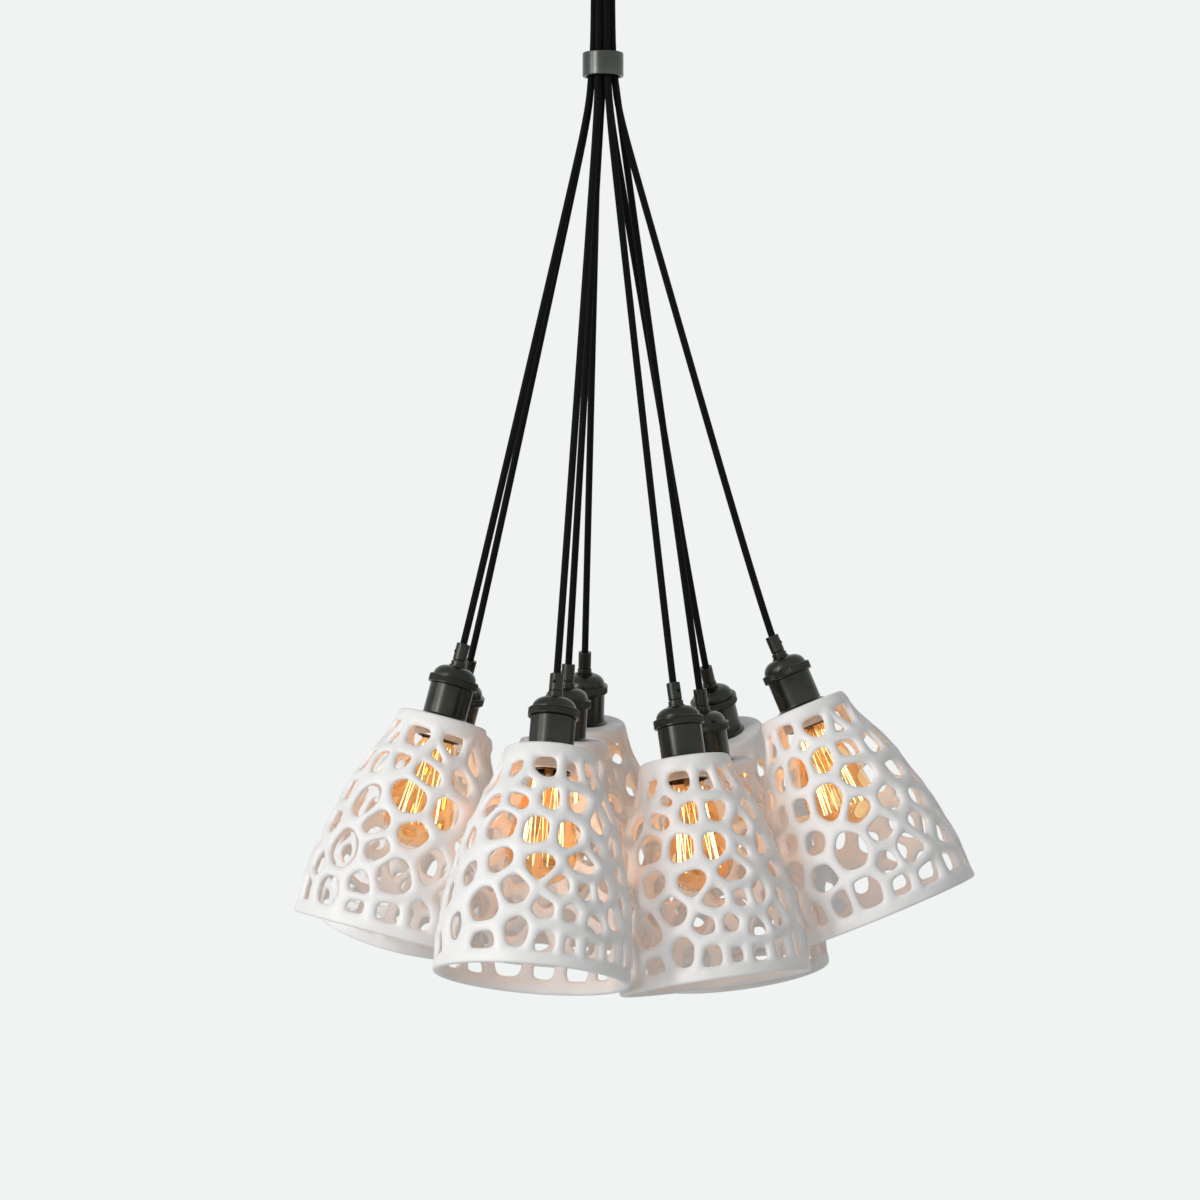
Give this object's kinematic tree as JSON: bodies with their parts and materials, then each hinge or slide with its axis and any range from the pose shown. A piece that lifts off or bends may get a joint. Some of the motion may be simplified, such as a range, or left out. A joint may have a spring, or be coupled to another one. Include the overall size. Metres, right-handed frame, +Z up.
{
  "type": "pendant light",
  "caption": "Cluster pendant light: pierced white ceramic bell shades with filament bulbs, hung on black cloth cords gathered by a dark metal collar.",
  "frame": {"origin": "on the ceiling, at the middle of the canopy and of the mounting bar's top face", "axes": "+Z up, the cords hang along -Z; the view in the picture looks along +Y with +X to the right"},
  "size_m": [0.6182, 0.601, 0.9737],
  "materials": {
    "gunmetal": "satin gunmetal",
    "zinc_steel": "zinc plated",
    "black_cloth": "woven cloth cover",
    "white_ceramic": "matt unglazed",
    "bulb_metal": "satin",
    "amber_glass": "clear amber"
  },
  "bodies": {
    "ceiling_fitting": {"canopy": "gunmetal", "ceiling_bar": "zinc_steel", "canopy_screws": "zinc_steel", "cord_outlet": "gunmetal", "cord_bundle": "black_cloth"},
    "collar": {"gather_collar": "gunmetal"},
    "lamp_a": {"cord_a": "black_cloth", "cord_grip_a": "gunmetal", "socket_a": "gunmetal", "shade_a": "white_ceramic"},
    "bulb_a": {"bulb_base_a": "bulb_metal", "bulb_glass_a": "amber_glass"},
    "lamp_b": {"cord_b": "black_cloth", "cord_grip_b": "gunmetal", "socket_b": "gunmetal", "shade_b": "white_ceramic"},
    "bulb_b": {"bulb_base_b": "bulb_metal", "bulb_glass_b": "amber_glass"},
    "lamp_c": {"cord_c": "black_cloth", "cord_grip_c": "gunmetal", "socket_c": "gunmetal", "shade_c": "white_ceramic"},
    "bulb_c": {"bulb_base_c": "bulb_metal", "bulb_glass_c": "amber_glass"},
    "lamp_d": {"cord_d": "black_cloth", "cord_grip_d": "gunmetal", "socket_d": "gunmetal", "shade_d": "white_ceramic"},
    "bulb_d": {"bulb_base_d": "bulb_metal", "bulb_glass_d": "amber_glass"},
    "lamp_e": {"cord_e": "black_cloth", "cord_grip_e": "gunmetal", "socket_e": "gunmetal", "shade_e": "white_ceramic"},
    "bulb_e": {"bulb_base_e": "bulb_metal", "bulb_glass_e": "amber_glass"},
    "lamp_f": {"cord_f": "black_cloth", "cord_grip_f": "gunmetal", "socket_f": "gunmetal", "shade_f": "white_ceramic"},
    "bulb_f": {"bulb_base_f": "bulb_metal", "bulb_glass_f": "amber_glass"},
    "lamp_g": {"cord_g": "black_cloth", "cord_grip_g": "gunmetal", "socket_g": "gunmetal", "shade_g": "white_ceramic"},
    "bulb_g": {"bulb_base_g": "bulb_metal", "bulb_glass_g": "amber_glass"},
    "lamp_h": {"cord_h": "black_cloth", "cord_grip_h": "gunmetal", "socket_h": "gunmetal", "shade_h": "white_ceramic"},
    "bulb_h": {"bulb_base_h": "bulb_metal", "bulb_glass_h": "amber_glass"},
    "lamp_i": {"cord_i": "black_cloth", "cord_grip_i": "gunmetal", "socket_i": "gunmetal", "shade_i": "white_ceramic"},
    "bulb_i": {"bulb_base_i": "bulb_metal", "bulb_glass_i": "amber_glass"}
  },
  "joints": [
    {"name": "collar_slide", "type": "slide", "parent": "ceiling_fitting", "child": "collar", "axis": [0, 0, 1], "range_m": [0, 0.03]},
    {"name": "swing_a", "type": "hinge", "parent": "ceiling_fitting", "child": "lamp_a", "pos_m": [-0.01068, -0.00426, -0.124], "axis": [-0.3987, 0.9171, 0], "range_deg": [0, 20]},
    {"name": "bulb_out_a", "type": "slide", "parent": "lamp_a", "child": "bulb_a", "axis": [-0.2528, -0.1099, -0.9613], "range_m": [0, 0.026]},
    {"name": "swing_b", "type": "hinge", "parent": "ceiling_fitting", "child": "lamp_b", "pos_m": [-0.01057, 0.00454, -0.124], "axis": [0.5225, 0.8526, 0], "range_deg": [0, 20]},
    {"name": "bulb_out_b", "type": "slide", "parent": "lamp_b", "child": "bulb_b", "axis": [-0.2635, 0.1615, -0.9511], "range_m": [0, 0.026]},
    {"name": "swing_c", "type": "hinge", "parent": "ceiling_fitting", "child": "lamp_c", "pos_m": [-0.00454, -0.01057, -0.124], "axis": [-0.9603, 0.279, 0], "range_deg": [0, 20]},
    {"name": "bulb_out_c", "type": "slide", "parent": "lamp_c", "child": "bulb_c", "axis": [-0.0783, -0.2695, -0.9598], "range_m": [0, 0.026]},
    {"name": "twist_d", "type": "hinge", "parent": "ceiling_fitting", "child": "lamp_d", "pos_m": [0, 0, -0.124], "axis": [0.0587, -0.0185, 0.9981], "range_deg": [-60, 60]},
    {"name": "bulb_out_d", "type": "slide", "parent": "lamp_d", "child": "bulb_d", "axis": [-0.0587, 0.0185, -0.9981], "range_m": [0, 0.026]},
    {"name": "swing_e", "type": "hinge", "parent": "ceiling_fitting", "child": "lamp_e", "pos_m": [-0.00426, 0.01068, -0.124], "axis": [0.9945, 0.1045, 0], "range_deg": [0, 20]},
    {"name": "bulb_out_e", "type": "slide", "parent": "lamp_e", "child": "bulb_e", "axis": [-0.0217, 0.2068, -0.9781], "range_m": [0, 0.026]},
    {"name": "swing_f", "type": "hinge", "parent": "ceiling_fitting", "child": "lamp_f", "pos_m": [0.00426, -0.01068, -0.124], "axis": [-0.9026, -0.4305, 0], "range_deg": [0, 20]},
    {"name": "bulb_out_f", "type": "slide", "parent": "lamp_f", "child": "bulb_f", "axis": [0.1362, -0.1682, -0.9763], "range_m": [0, 0.026]},
    {"name": "twist_g", "type": "hinge", "parent": "ceiling_fitting", "child": "lamp_g", "pos_m": [0.01068, 0.00426, -0.124], "axis": [-0.1389, -0.0575, 0.9886], "range_deg": [-60, 60]},
    {"name": "bulb_out_g", "type": "slide", "parent": "lamp_g", "child": "bulb_g", "axis": [0.1389, 0.0575, -0.9886], "range_m": [0, 0.026]},
    {"name": "swing_h", "type": "hinge", "parent": "ceiling_fitting", "child": "lamp_h", "pos_m": [0.00454, 0.01057, -0.124], "axis": [0.809, -0.5878, 0], "range_deg": [0, 20]},
    {"name": "bulb_out_h", "type": "slide", "parent": "lamp_h", "child": "bulb_h", "axis": [0.2325, 0.32, -0.9184], "range_m": [0, 0.026]},
    {"name": "swing_i", "type": "hinge", "parent": "ceiling_fitting", "child": "lamp_i", "pos_m": [0.01057, -0.00454, -0.124], "axis": [-0.2079, -0.9781, 0], "range_deg": [0, 20]},
    {"name": "bulb_out_i", "type": "slide", "parent": "lamp_i", "child": "bulb_i", "axis": [0.3838, -0.0816, -0.9198], "range_m": [0, 0.026]}
  ]
}
